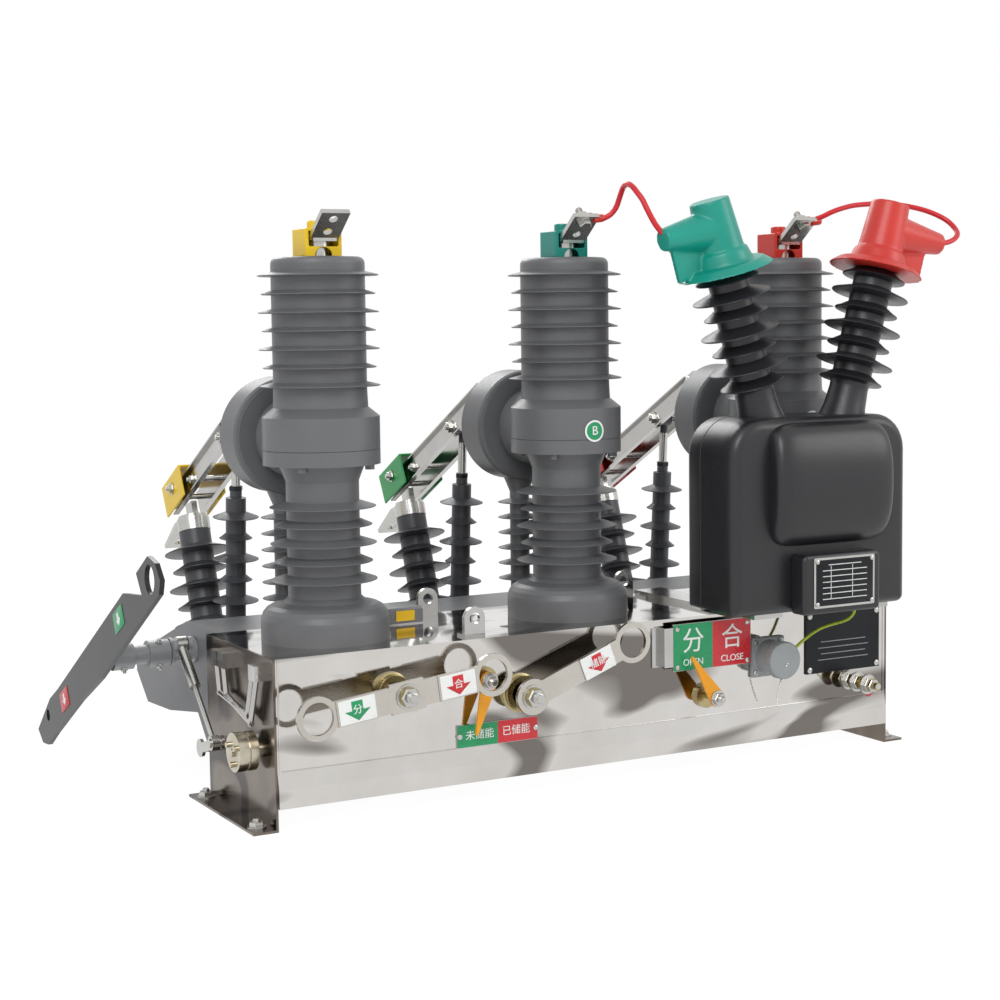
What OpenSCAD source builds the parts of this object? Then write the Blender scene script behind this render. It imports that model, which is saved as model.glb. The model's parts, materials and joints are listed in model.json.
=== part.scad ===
// Outdoor vacuum circuit breaker: three insulated poles on a stainless
// mechanism housing, a three-phase isolator behind them and a voltage
// transformer in front of the third pole. Millimetres, Z up, X along the poles.

/* [Poles] */
// Distance from one pole to the next
pole_pitch = 340; // [300:1:380]
// Offset of the middle pole from the centre of the housing
pole_shift = 8; // [0:1:20]
// Radius of a pole's upper body
body_r = 56; // [45:1:65]
// Radius of the large upper sheds
shed_r = 72; // [66:1:84]
// Radius of the small upper sheds
shed_small_r = 68; // [60:1:80]
// Height of a pole above the housing
pole_h = 457; // [420:1:520]
// Distance between upper sheds
shed_pitch = 21.8; // [20:0.1:25]
// Radius of the collar at a pole's middle
collar_r = 70.5; // [66:0.5:80]
// Radius of the waist below the collar
waist_r = 44; // [38:1:50]
// Radius of a pole's foot
foot_r = 77.5; // [72:0.5:86]

/* [Housing] */
// Length of the housing
housing_l = 884; // [820:1:1060]
// Depth of the housing
housing_d = 216; // [190:1:240]
// Height of the housing's top above the ground
housing_top = 200; // [180:1:230]
// Height of the housing's underside above the ground
housing_bottom = 27; // [15:1:40]
// Thickness of the end plates
plate_t = 3; // [2:0.5:5]
// Width of the foot flanges
foot_w = 31; // [25:1:45]
// Radius of the foot bolt holes
foot_hole_r = 5.5; // [4.5:0.5:6.5]
// Distance between the foot holes along the flange
foot_hole_pitch = 168; // [140:1:180]

/* [Current transformers] */
// Radius of the outlet disc
disc_r = 73; // [60:1:80]
// Thickness of the outlet disc
disc_t = 55; // [40:1:70]
// Height of the outlet axis
outlet_z = 440; // [425:1:455]

/* [Isolator] */
// Distance of the main shaft behind the poles
shaft_y = 200; // [185:1:215]
// Height of the main shaft
shaft_z = 166; // [158:1:172]
// Radius of the main shaft
shaft_r = 12; // [9:0.5:14]
// Rearward reach of a crank
crank_y = 108; // [95:1:115]
// Drop of a crank
crank_z = 57; // [50:1:60]
// Height of the pull pins on the blades
pull_pin_z = 430; // [420:1:440]
// Length of a blade beyond its pivot
blade_l = 346; // [335:1:360]
// Height of a blade strip
blade_h = 32; // [26:1:36]
// Tilt of the post insulators
post_tilt = 19; // [15:0.5:22]
// Length of a post insulator to the top of its cap
post_l = 182; // [175:1:190]

/* [Voltage transformer] */
// Width of the transformer body
vt_w = 276; // [240:1:300]
// Depth of the transformer body
vt_d = 103; // [90:1:120]
// Height of the transformer body
vt_h = 247; // [220:1:270]
// Tilt of the two bushings
bushing_tilt = 16; // [10:1:20]

/* [Hidden] */

$fn = 64;
small_fn = 32;
run = 0.05;          // radial clearance of a pin in its bore
gap = 0.3;           // gap between curved faces that would touch
back_y = housing_d / 2;
front_y = -housing_d / 2;
end_x = housing_l / 2;
pole_x = [for (i = [-1 : 1]) pole_shift + i * pole_pitch];

// pole heights, from the housing top up
cap_z = housing_top + pole_h;
collar_low_z = outlet_z - 29;
collar_top_z = outlet_z + 28;
first_shed_z = cap_z - 21.5;
low_pitch = 22;
low_shed_z = housing_top + 72;

// current transformer
disc_y = 98;
column_y = 124;
column_r = 13;

// isolator linkage: crank and blade arm are parallel and equal
crank_pin_y = shaft_y + crank_y;
crank_pin_z = shaft_z - crank_z;
pull_pin_y = crank_pin_y - 23;
blade_y = pull_pin_y - crank_y;
blade_z = pull_pin_z + crank_z;
blade_dip = atan2(crank_z, crank_y);
crank_l = norm([crank_y, crank_z]);
pin_r = 6;
strip_t = 3;
strip_x = 19;
pull_l = norm([crank_pin_y - pull_pin_y, pull_pin_z - crank_pin_z]);
pull_lean = atan2(crank_pin_y - pull_pin_y, pull_pin_z - crank_pin_z);
shaft_left = -end_x - 103;
shaft_right = end_x - 3;

// isolator frame
frame_t = 3;
frame_x = end_x - 13;
ramp_y = 225;
ramp_end = 436;
frame_top = housing_top - 1;
post_base_y = 404.6;
slot_w = 40;

// interlock
arm_y = 90;
arm_z = 63;
arm_reach = 72;
arm_rise = 21;
link_x = -471;
link_pin_y = shaft_y - arm_reach;
link_pin_z = shaft_z + arm_rise;
link_low_y = arm_y - arm_reach;
link_low_z = arm_z + arm_rise;
link_r = 5;

// front gear
trip_x = -298;
trip_z = 150;
trip_y = -150;
trip_reach = 113;
trip_lean = 7;
ring_r = 25.5;
ring_bore_r = 19;
charge_x = -125;
charge_z = 129;
charge_reach = 151;
charge_lean = 20.5;
state_x = 147;
state_z = 97;
pointer_x = -176;
pointer_z = 151;
lever_t = 5;

// voltage transformer
vt_x = 272;
vt_back = -87;
vt_front = vt_back - vt_d;
rail_h = 6;
vt_z = housing_top + rail_h;
vt_top = vt_z + vt_h;
vt_round = 46;
barrel_r = 107;
barrel_y = vt_front - 28 + barrel_r;
barrel_z = vt_z + 163;
bushing_y = vt_back - vt_d / 2;
bushing_mid = 7;
bushing_off = 63;
bushing_pitch = 22.9;

lead_r = 3.5;
wire_r = 2;

// points of the lead from the middle pole to the left bushing
lead_b_path = [
    [26, -52, 703], [36, -53, 705], [44, -56, 710], [49, -60, 718], [50, -65, 727],
    [49, -72, 735], [47, -80, 741], [45, -89, 744], [44, -98, 744], [44, -107, 740],
    [45, -115, 733], [48, -122, 724], [51, -127, 713], [55, -131, 702], [60, -134, 692],
    [66, -137, 684], [74, -138, 678]
];
// points of the lead from the third pole to the right bushing
lead_c_path = [
    [362, -52, 706], [376, -56, 711], [390, -58, 717], [406, -59, 722], [424, -60, 726],
    [444, -62, 728], [466, -65, 729], [488, -70, 728], [508, -77, 725], [526, -86, 720],
    [540, -96, 713], [549, -106, 705], [552, -116, 696], [549, -126, 688], [541, -133, 682],
    [530, -137, 677], [518, -138, 674], [502, -138, 673]
];
// points of the earth wire from the transformer to the socket
earth_path = [
    [330, -183, 211], [330, -183, 203], [329, -181, 196], [326, -177, 190], [321, -172, 186],
    [314, -166, 183], [306, -160, 180], [298, -154, 176], [291, -149, 171], [284, -145, 165],
    [277, -142, 159], [270, -140, 153], [263, -138, 148]
];

function axis_turn(a, b) =
    let (d = b - a) [0, acos(d[2] / norm(d)), atan2(d[1], d[0])];

// direction of a path at one of its points
function heading(p, i) =
    let (d = p[min(i + 1, len(p) - 1)] - p[max(i - 1, 0)]) d / norm(d);

// point on a smooth curve through the path, between points i and i + 1
function smooth(p, i, t) =
    let (
        a = p[max(i - 1, 0)], b = p[i],
        c = p[i + 1], d = p[min(i + 2, len(p) - 1)]
    )
    0.5 * (2 * b + (c - a) * t + (2 * a - 5 * b + 4 * c - d) * t * t
        + (3 * b - a - 3 * c + d) * t * t * t);

function fine(p, n) = concat(
    [for (i = [0 : len(p) - 2]) for (k = [0 : n - 1]) smooth(p, i, k / n)],
    [p[len(p) - 1]]
);

// one ring of a swept tube, kept square to the path with a fixed reference
function ring_at(p, i, r, sides) =
    let (
        h = heading(p, i),
        u = cross(h, [0.3, 0.9, 0.1]), v = u / norm(u), w = cross(h, v)
    )
    [for (k = [0 : sides - 1]) p[i] + r * (cos(360 * k / sides) * v + sin(360 * k / sides) * w)];

module tube_along(p, r, sides) {
    n = len(p);
    points = [for (i = [0 : n - 1]) for (q = ring_at(p, i, r, sides)) q];
    walls = [
        for (i = [0 : n - 2]) for (k = [0 : sides - 1])
            [
                i * sides + k, i * sides + (k + 1) % sides,
                (i + 1) * sides + (k + 1) % sides, (i + 1) * sides + k
            ]
    ];
    polyhedron(
        points = points,
        faces = concat(
            walls,
            [[for (k = [sides - 1 : -1 : 0]) k]],
            [[for (k = [0 : sides - 1]) (n - 1) * sides + k]]
        ),
        convexity = 8
    );
}

module rod(a, b, r) {
    translate(a)
        rotate(axis_turn(a, b))
            cylinder(r = r, h = norm(b - a), $fn = small_fn);
}

module along_x(x, y, z, r, h) {
    translate([x, y, z])
        rotate([0, 90, 0])
            cylinder(r = r, h = h);
}

module along_front(x, y, z, r, h) {
    translate([x, y, z])
        rotate([90, 0, 0])
            cylinder(r = r, h = h);
}

module centred_box(x, y, z, w, d, h) {
    translate([x - w / 2, y, z])
        cube([w, d, h]);
}

// outline in the Y-Z plane, made thick along X from x
module side_plate(x, t) {
    translate([x, 0, 0])
        rotate([90, 0, 90])
            linear_extrude(t)
                children();
}

// thin shed as points of a half profile, lowest first
function shed(r, root, z, thick) = [
    [root, z - thick * 0.3], [r - 1.5, z - 1], [r, z - 0.4], [r, z + 0.4],
    [r - 1.5, z + 1], [root, z + thick]
];

module housing() {
    skirt = 4;
    crease_z = 69;
    color("gainsboro")
        difference() {
            union() {
                translate([-end_x, front_y, housing_bottom])
                    cube([housing_l, housing_d, housing_top - housing_bottom]);
                translate([-end_x, 0, 0])
                    rotate([90, 0, 90])
                        linear_extrude(housing_l)
                            polygon([
                                [front_y + 1, crease_z], [front_y, crease_z],
                                [front_y - skirt, crease_z - 20],
                                [front_y - skirt, housing_bottom], [front_y + 1, housing_bottom]
                            ]);
            }
            // drip groove under the skirt
            translate([-end_x - 1, front_y + 20, housing_bottom - 1])
                cube([housing_l + 2, housing_d - 40, 5]);
        }
}

module end_plate(s) {
    color("dimgray")
        mirror([s < 0 ? 1 : 0, 0, 0])
            difference() {
                union() {
                    translate([end_x, front_y, 0])
                        cube([plate_t, housing_d, housing_top]);
                    translate([end_x, front_y, 0])
                        cube([foot_w, housing_d, plate_t]);
                }
                for (k = [-1, 1])
                    translate([end_x + foot_w / 2 + 2, k * foot_hole_pitch / 2, -1])
                        cylinder(r = foot_hole_r, h = plate_t + 2);
                if (s < 0)
                    along_x(end_x - 1, arm_y, arm_z, pin_r, plate_t + 2);
            }
}

function upper_profile() = concat(
    [
        [body_r + 1, collar_top_z + 11]
    ],
    [
        for (i = [6 : -1 : 0])
            for (q = shed(i % 2 == 0 ? shed_r : shed_small_r, body_r, first_shed_z - i * shed_pitch, 4.5))
                q
    ],
    [[body_r, cap_z - 8]],
    [for (a = [0 : 15 : 90]) [body_r - 8 + 8 * cos(a), cap_z - 8 + 8 * sin(a)]],
    [[0, cap_z]]
);

function lower_profile() = concat(
    [[0, housing_top], [foot_r, housing_top], [foot_r, housing_top + 24]],
    [for (a = [10 : 20 : 90]) [foot_r - 20 + 20 * cos(a), housing_top + 24 + 20 * sin(a)]],
    [[waist_r + 6, housing_top + 46], [waist_r, housing_top + 52]],
    [
        for (i = [0 : 4])
            for (q = shed(i % 2 == 0 ? 64 : 59, waist_r, low_shed_z + i * low_pitch, 7))
                q
    ],
    [
        [waist_r, collar_low_z - 20], [waist_r + 8, collar_low_z],
        [collar_r, collar_low_z], [collar_r, collar_low_z + 17.5], [collar_r - 0.8, collar_low_z + 18],
        [collar_r, collar_low_z + 18.5], [collar_r, collar_top_z]
    ]
);

module pole(x) {
    color("dimgray")
        translate([x, 0, 0]) {
            rotate_extrude()
                polygon(concat(lower_profile(), upper_profile()));
            // neck that carries the outlet disc
            translate([0, disc_y, outlet_z])
                rotate([90, 0, 0]) {
                    cylinder(r = 40, h = disc_y);
                    translate([0, 0, 12])
                        cylinder(r = 50, h = disc_y - 12);
                }
            // bolt heads under the collar
            for (a = [45 : 90 : 315])
                rotate(a)
                    translate([61, 0, collar_low_z - 6])
                        cylinder(r = 6, h = 7, $fn = 6);
        }
}

module current_transformer(x) {
    disc_end = disc_y + disc_t;
    color("dimgray")
        translate([x, 0, 0]) {
            translate([0, disc_end, outlet_z])
                rotate([90, 0, 0])
                    rotate_extrude()
                        polygon([
                            [0, 0], [disc_r - 4, 0], [disc_r, 4],
                            [disc_r, disc_t - 5], [disc_r - 2, disc_t - 1], [disc_r - 6, disc_t],
                            [0, disc_t]
                        ]);
            // tail that narrows into the lead-out column
            translate([0, column_y, outlet_z - disc_r - 16])
                cylinder(r1 = column_r, r2 = 26, h = 32);
            translate([0, column_y, 0])
                rotate_extrude()
                    polygon(concat(
                        [[0, housing_top], [column_r + 4, housing_top], [column_r, housing_top + 12]],
                        [
                            for (i = [0 : 5])
                                for (q = shed(29, column_r, housing_top + 34 + i * 20.5, 5))
                                    q
                        ],
                        [[column_r, outlet_z - disc_r - 10], [0, outlet_z - disc_r - 10]]
                    ));
        }
}

// flat bar that leaves the cover and rises towards the front, with two holes
module top_terminal(x) {
    color("silver")
        translate([x, 0, 0]) {
            translate([0, 0, cap_z])
                cylinder(r = 15, h = 20);
            translate([0, -22, cap_z + 24])
                rotate([-38, 0, 0])
                    difference() {
                        translate([-18, -44, -3])
                            cube([36, 48, 6]);
                        for (y = [-11, -33])
                            translate([0, y, -4])
                                cylinder(r = 5.5, h = 8);
                    }
            // clamp block between the stud and the bar
            translate([-15, -24, cap_z + 18])
                cube([30, 36, 6]);
        }
}

module terminal_cover(x, shade) {
    color(shade)
        translate([x, 0, cap_z]) {
            difference() {
                translate([-23.5, -20, 0])
                    cube([47, 40, 33]);
                translate([-20.5, -17, -1])
                    cube([41, 34, 31]);
                // mouth for the bar and arch over the stud
                translate([-19, -21, 12])
                    cube([38, 6, 22]);
                translate([0, -10, 0])
                    rotate([90, 0, 0])
                        cylinder(r = 11, h = 12);
            }
            translate([0, 4, 30])
                cylinder(r = 10, h = 13);
        }
}

module outlet_terminal(x) {
    start = disc_y + disc_t;
    color("silver")
        translate([x, 0, 0])
            difference() {
                union() {
                    translate([0, start + 8, outlet_z])
                        rotate([90, 0, 0])
                            cylinder(r = 20, h = 8);
                    translate([-13, start + 8, outlet_z - 16])
                        cube([26, 12, blade_z - outlet_z + 16]);
                    along_x(-13, blade_y, blade_z, 13, 26);
                    along_x(-strip_x - 8, blade_y, blade_z, pin_r, 2 * strip_x + 16);
                }
                translate([0, start + 30, outlet_z])
                    rotate([90, 0, 0])
                        cylinder(r = 4, h = 40);
            }
}

module isolator_frame() {
    ramp_z = frame_top - (ramp_end - ramp_y) * tan(post_tilt);
    color("slategray")
        difference() {
            union() {
                // bent top sheet with its front flange, slope and rear lip
                side_plate(-frame_x, 2 * frame_x)
                    polygon([
                        [back_y, frame_top - 34], [back_y, frame_top], [ramp_y, frame_top],
                        [ramp_end, ramp_z], [ramp_end, ramp_z - 24],
                        [ramp_end - frame_t, ramp_z - 24], [ramp_end - frame_t, ramp_z - 2],
                        [ramp_y, frame_top - frame_t], [back_y + frame_t, frame_top - frame_t],
                        [back_y + frame_t, frame_top - 34]
                    ]);
                for (x = [-frame_x, frame_x - frame_t])
                    side_plate(x, frame_t)
                        polygon([
                            [back_y, 43], [back_y, frame_top - 1], [ramp_y, frame_top - 1],
                            [ramp_end - 1, ramp_z - 1], [ramp_end - 1, ramp_z - 24], [392, 66],
                            [300, 70], [191, 86], [150, 43]
                        ]);
            }
            // crank slots in the slope
            for (x = pole_x)
                translate([x - slot_w / 2, ramp_y + 1, ramp_z])
                    cube([slot_w, 124, frame_top - ramp_z + 1]);
            // bearings of the main shaft
            along_x(-frame_x - 1, shaft_y, shaft_z, shaft_r + run, 2 * frame_x + 2);
        }
}

module on_post(x) {
    translate([x, post_base_y, frame_top - (post_base_y - ramp_y) * tan(post_tilt)])
        rotate([-post_tilt, 0, 0])
            children();
}

module post_insulator(x) {
    core = 22;
    color("dimgray")
        on_post(x)
            rotate_extrude()
                polygon(concat(
                    [[0, 0], [core + 3, 0], [core + 3, 8], [core, 12]],
                    [
                        for (i = [0 : 4])
                            for (q = shed(i % 2 == 0 ? 46 : 38, core, 26 + i * 26, 9))
                                q
                    ],
                    [[core, 160], [0, 160]]
                ));
}

module fixed_contact(x) {
    color("silver")
        on_post(x)
            difference() {
                union() {
                    translate([0, 0, 160])
                        cylinder(r = 23, h = post_l - 164);
                    translate([0, 0, post_l - 6])
                        cylinder(r = 20.5, h = 6);
                    // tongue that stands between the blade's strips
                    translate([-4, -14, post_l - 1])
                        cube([8, 26, 20]);
                    // line terminal behind the cap
                    translate([-17, 12, post_l - 8])
                        cube([34, 20, 6]);
                    translate([-17, 30, post_l - 8])
                        rotate([-18, 0, 0])
                            cube([34, 58, 6]);
                }
                translate([-17, 30, post_l - 8])
                    rotate([-18, 0, 0])
                        translate([17, 42, -1])
                            cylinder(r = 6.5, h = 8);
            }
}

module isolator_shaft() {
    color("lightgray") {
        difference() {
            along_x(shaft_left, shaft_y, shaft_z, shaft_r, shaft_right - shaft_left);
            along_x(shaft_left - 1, shaft_y, shaft_z, shaft_r - 3, 60);
        }
        // clamp collars outside the frame
        along_x(-frame_x - 62, shaft_y, shaft_z, shaft_r + 5, 27);
        along_x(-frame_x - 3.3, shaft_y, shaft_z, shaft_r + 5, 3);
        along_x(shaft_left + 8, shaft_y, shaft_z, shaft_r + 5, 26);
        // crank pairs, one under each pole
        for (x = pole_x)
            for (s = [-13, 8])
                crank_arm(x + s, 5, crank_pin_y, crank_pin_z, 11);
        for (x = pole_x)
            along_x(x - 15, crank_pin_y, crank_pin_z, pin_r, 30);
        // interlock crank
        crank_arm(link_x + 8, 5, link_pin_y, link_pin_z, 9);
        along_x(link_x - 9, link_pin_y, link_pin_z, link_r, 20);
    }
}

// flat arm from the main shaft to a pin
module crank_arm(x, t, y, z, r) {
    reach = norm([y - shaft_y, z - shaft_z]);
    translate([x, shaft_y, shaft_z])
        rotate([atan2(z - shaft_z, y - shaft_y), 0, 0])
            rotate([90, 0, 90])
                linear_extrude(t) {
                    circle(r = shaft_r + 6);
                    translate([reach, 0])
                        circle(r = r);
                    translate([0, -r])
                        square([reach, 2 * r]);
                }
}

module isolator_handle() {
    color("darkslategray")
        difference() {
            side_plate(shaft_left - 6, 6) {
                polygon([
                    [4, 315], [48, 290], [29, 266], [101, 260], [402, 94], [441, 75], [506, 21],
                    [483, 6], [457, 8], [416, 32], [296, 96], [203, 140], [-33, 274], [-39, 291],
                    [-22, 309]
                ]);
            }
            along_x(shaft_left - 7, -1, 288, 17.5, 8);
            along_x(shaft_left - 7, 452, 50, 8, 8);
        }
}

module blade(x) {
    color("silver")
        translate([x, blade_y, blade_z])
            rotate([-blade_dip, 0, 0]) {
                for (s = [0, 1])
                    mirror([s, 0, 0])
                        difference() {
                            union() {
                                side_plate(strip_x - strip_t, strip_t) {
                                    circle(r = blade_h / 2);
                                    translate([0, -blade_h / 2])
                                        square([blade_l, blade_h]);
                                }
                                // folded edges
                                for (k = [-1, 1])
                                    translate([strip_x - strip_t, 14, k * (blade_h / 2 - 1) - 1])
                                        cube([8, blade_l - 14, 2]);
                            }
                            along_x(0, 0, 0, pin_r + run, 40);
                        }
                // pull pin and two spacer bolts join the strips
                along_x(-strip_x - 4, crank_l, 0, pin_r - 1, 2 * strip_x + 8);
                along_x(-strip_x - 4, blade_l - 88, 0, 4, 2 * strip_x + 8);
                along_x(-strip_x - 8, blade_l - 12, 5, 4, 2 * strip_x + 16);
            }
}

module blade_cover(x, shade) {
    wide = 31;
    color(shade)
        translate([x, blade_y, blade_z])
            rotate([-blade_dip, 0, 0])
                difference() {
                    translate([-wide, blade_l - 74, -17])
                        cube([2 * wide, 82, 46]);
                    translate([-wide + 3, blade_l - 75, -18])
                        cube([2 * wide - 6, 84, 44]);
                    along_x(-wide - 1, blade_l - 34, 10, 4, 2 * wide + 2);
                }
        color(shade)
            translate([x, blade_y, blade_z])
                rotate([-blade_dip, 0, 0])
                    for (s = [-1, 1])
                        translate([s > 0 ? strip_x + 5.3 : -wide + 2.5, blade_l - 50, -15.5])
                            cube([wide - strip_x - 7.8, 30, 31]);
}

module pull_insulator(x) {
    core = 13.5;
    color("dimgray")
        translate([x, crank_pin_y, crank_pin_z])
            rotate([pull_lean, 0, 0])
                difference() {
                    union() {
                        along_x(-7, 0, 0, 13, 14);
                        cylinder(r = 7, h = 60);
                        rotate_extrude()
                            polygon(concat(
                                [[0, 50], [core, 50]],
                                [
                                    for (i = [0 : 5])
                                        for (q = shed(i % 2 == 0 ? 22 : 30.5, core, 72 + i * 28.4, 7))
                                            q
                                ],
                                [[core, 240], [8, 241], [8, 250], [0, 250]]
                            ));
                        cylinder(r = 5.5, h = pull_l - 9);
                        along_x(-7, 0, pull_l, 12, 14);
                    }
                    along_x(-10, 0, 0, pin_r + run, 20);
                    along_x(-10, 0, pull_l, pin_r, 20);
                }
}

module interlock_link() {
    low = [link_x, link_low_y, link_low_z];
    top = [link_x, link_pin_y, link_pin_z];
    d = (top - low) / norm(top - low);
    color("silver")
        difference() {
            union() {
                rod(low, low + d * 100, 3);
                rod(low + d * 84, top, 6.5);
                along_x(link_x - 5, link_low_y, link_low_z, 9, 10);
                along_x(link_x - 6, link_pin_y, link_pin_z, 10, 12);
            }
            along_x(link_x - 8, link_low_y, link_low_z, link_r + 0.6, 16);
            along_x(link_x - 8, link_pin_y, link_pin_z, link_r + run, 16);
        }
}

module interlock_arm() {
    color("silver") {
        translate([link_x + 7, arm_y, arm_z])
            rotate([atan2(arm_rise, -arm_reach), 0, 0])
                rotate([90, 0, 90])
                    linear_extrude(4) {
                        circle(r = 11);
                        translate([norm([arm_reach, arm_rise]), 0])
                            circle(r = 8);
                        translate([0, -6])
                            square([norm([arm_reach, arm_rise]), 12]);
                    }
        along_x(link_x - 7, link_low_y, link_low_z, link_r, 16);
        along_x(link_x + 9, arm_y, arm_z, pin_r - run, -end_x - link_x - 9 - gap);
    }
}

module interlock_drum() {
    drum_y = -60;
    drum_z = 88;
    left = -477;
    color("silver") {
        along_x(left, drum_y, drum_z, 23, 12);
        along_x(left + 10, drum_y, drum_z, 21, 6);
        along_x(left + 14, drum_y, drum_z, 23, 10);
        along_x(left + 20, drum_y, drum_z, 9, -end_x - plate_t - left - 20);
        for (a = [30 : 120 : 270])
            along_x(left - 4, drum_y + 14 * cos(a), drum_z + 14 * sin(a), 3.5, 6);
        along_x(left - 3, drum_y, drum_z, 5, 6);
    }
}

// square-cornered bar that runs a little past both its ends
module bent_bar(a, b, half) {
    d = (b - a) / norm(b - a);
    translate(a - half * d)
        rotate(axis_turn(a, b))
            cylinder(r = half, h = norm(b - a) + 2 * half, $fn = 8);
}

module lock_bracket() {
    x = -454;
    low_z = 128;
    wall = -end_x - plate_t;
    color("silver") {
        for (s = [0, 1]) {
            bent_bar([x, 48 - 22 * s, 178], [x, 40 - 22 * s, 140], 3.5);
            bent_bar([x, 40 - 22 * s, 140], [x, -50 - 9 * s, low_z - 8 * s], 3.5);
            bent_bar([x, -50 - 9 * s, low_z - 8 * s], [x, -68 - 14 * s, 178], 3.5);
        }
        // lugs welded to the end plate
        for (y = [48, 26, -75])
            translate([wall - 13, y - 10, 172])
                cube([13, 20, 18]);
    }
}

module trip_lever() {
    color("lightgray")
        difference() {
            translate([trip_x, trip_y, trip_z])
                rotate([0, -trip_lean, 0]) {
                    rotate([90, 0, 0])
                        linear_extrude(lever_t)
                            difference() {
                                union() {
                                    for (s = [-1, 1])
                                        translate([s * trip_reach, 0])
                                            circle(r = ring_r);
                                    translate([-trip_reach, -15])
                                        square([2 * trip_reach, 30]);
                                    translate([-22, -18])
                                        square([44, 36]);
                                }
                                for (s = [-1, 1])
                                    translate([s * trip_reach, 0])
                                        circle(r = ring_bore_r);
                            }
                    // label plates near the rings
                    for (x = [-90, 40])
                        translate([x, -lever_t - 1.5, -15.5])
                            cube([50, 2, 31]);
                }
            along_front(trip_x, trip_y + 1, trip_z, 8 + run, lever_t + 4);
        }
}

module charging_lever() {
    color("gray")
        difference() {
            translate([charge_x, trip_y + 12, charge_z])
                rotate([0, -charge_lean, 0]) {
                    rotate([90, 0, 0])
                        linear_extrude(lever_t)
                            difference() {
                                union() {
                                    circle(r = 22);
                                    translate([charge_reach, 0])
                                        circle(r = ring_r);
                                    translate([0, -14])
                                        square([charge_reach, 28]);
                                }
                                translate([charge_reach, 0])
                                    circle(r = ring_bore_r);
                            }
                    translate([charge_reach - 78, -lever_t - 1.5, -13])
                        cube([46, 2, 26]);
                }
            along_front(charge_x, trip_y + 13, charge_z, 8 + run, lever_t + 4);
        }
}

// flat pointer with a round end, turned to its rest angle in the X-Z plane
module pointer(x, y, z, reach, angle, half) {
    translate([x, y, z])
        rotate([0, -angle, 0])
            rotate([90, 0, 0])
                linear_extrude(3)
                    difference() {
                        union() {
                            circle(r = half);
                            polygon([[0, half], [0, -half], [reach, -1.5], [reach, 1.5]]);
                        }
                        circle(r = 4 + run);
                    }
}

module state_pointer() {
    color("orange")
        pointer(state_x, -134, state_z, 68, 124, 11);
}

module charge_pointer() {
    color("orange")
        pointer(pointer_x, -124, pointer_z, 66, 254, 11);
}

// bearing studs of the levers and pointers, earth stud
module front_fittings() {
    color("darkkhaki") {
        difference() {
            along_front(trip_x, front_y, trip_z, 19, 12);
            along_front(trip_x, front_y - 6, trip_z, 20.5, 2);
        }
        along_front(trip_x, front_y - 8, trip_z, 8, -trip_y + front_y - 8 + lever_t + 6);
        along_front(trip_x, trip_y - lever_t - 0.3, trip_z, 12, 5);
        along_front(charge_x, front_y, charge_z, 22, 10);
        along_front(charge_x, front_y - 9, charge_z, 8, -trip_y - 12 + front_y + lever_t - 3);
        along_front(charge_x, trip_y + 12 - lever_t - 0.3, charge_z, 12, 5);
        along_front(state_x, front_y, state_z, 16, 6);
        along_front(state_x, front_y - 5, state_z, 4, 30);
        along_front(state_x, -137.3, state_z, 7, 4);
        along_front(pointer_x, front_y, pointer_z, 16, 8);
        along_front(pointer_x, front_y - 7, pointer_z, 4, 16);
        along_front(pointer_x, -127.3, pointer_z, 7, 5);
        // earth stud with its nuts
        along_front(380, front_y, 93, 5, 62);
        for (y = [0, 18, 40])
            translate([380, front_y - y, 93])
                rotate([90, 0, 0])
                    cylinder(r = 10, h = 9, $fn = 6);
    }
}

module indicator_plates() {
    color("white") {
        difference() {
            union() {
                translate([91, front_y - 12, 134])
                    cube([120, 2, 60]);
                translate([80, front_y - 12, 140])
                    cube([13, 2, 50]);
                translate([78, front_y - 12, 140])
                    cube([2, 12, 50]);
                translate([66, front_y - 2, 140])
                    cube([13, 2, 50]);
            }
        }
        translate([-212, front_y - 2, 70])
            cube([110, 2, 28]);
    }
}

module control_socket() {
    x = 244;
    z = 138;
    color("gray") {
        centred_box(x, front_y - 5, z - 26, 52, 5, 52);
        along_front(x, front_y - 4, z, 22, 26);
        along_front(x, front_y - 29, z, 24, 14);
    }
}

module control_panel() {
    color("black")
        translate([308, front_y - 3, 107])
            cube([122, 3, 82]);
}

// rectangle with round upper corners, in the X-Z plane
module vt_outline(w, h, r) {
    translate([-w / 2, 0])
        square([w, h - r]);
    translate([-w / 2 + r, 0])
        square([w - 2 * r, h]);
    for (s = [-1, 1])
        translate([s * (w / 2 - r), h - r])
            circle(r = r);
}

module voltage_transformer() {
    color([0.12, 0.12, 0.13])
        translate([vt_x, 0, 0]) {
            translate([0, vt_back - 8, vt_z])
                rotate([90, 0, 0])
                    linear_extrude(vt_d - 16)
                        vt_outline(vt_w, vt_h, vt_round);
            for (y = [vt_back, vt_front + 8])
                translate([0, y, vt_z])
                    rotate([90, 0, 0])
                        linear_extrude(8)
                            vt_outline(vt_w - 10, vt_h - 5, vt_round - 5);
            intersection() {
                along_x(-83, barrel_y, barrel_z, barrel_r, 182);
                translate([-90, vt_front - 40, barrel_z - 110])
                    cube([200, 60, 220]);
            }
            centred_box(11, vt_front - 27, vt_z, 122, 29, 76);
            // saddle that carries both bushings
            centred_box(bushing_mid, bushing_y - 30, vt_top - 1, 180, 60, 8);
            for (s = [-1, 1])
                translate([bushing_mid + s * bushing_off, bushing_y, vt_top - 12])
                    rotate([0, s * bushing_tilt, 0])
                        rotate_extrude()
                            polygon(concat(
                                [[0, 0], [30, 0], [27, 22], [25, 46]],
                                [
                                    for (i = [0 : 6])
                                        for (q = shed(i % 2 == 1 ? 50 : 41, 26, 56 + i * bushing_pitch, 9))
                                            q
                                ],
                                [[26, 205], [0, 205]]
                            ));
        }
}

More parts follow.
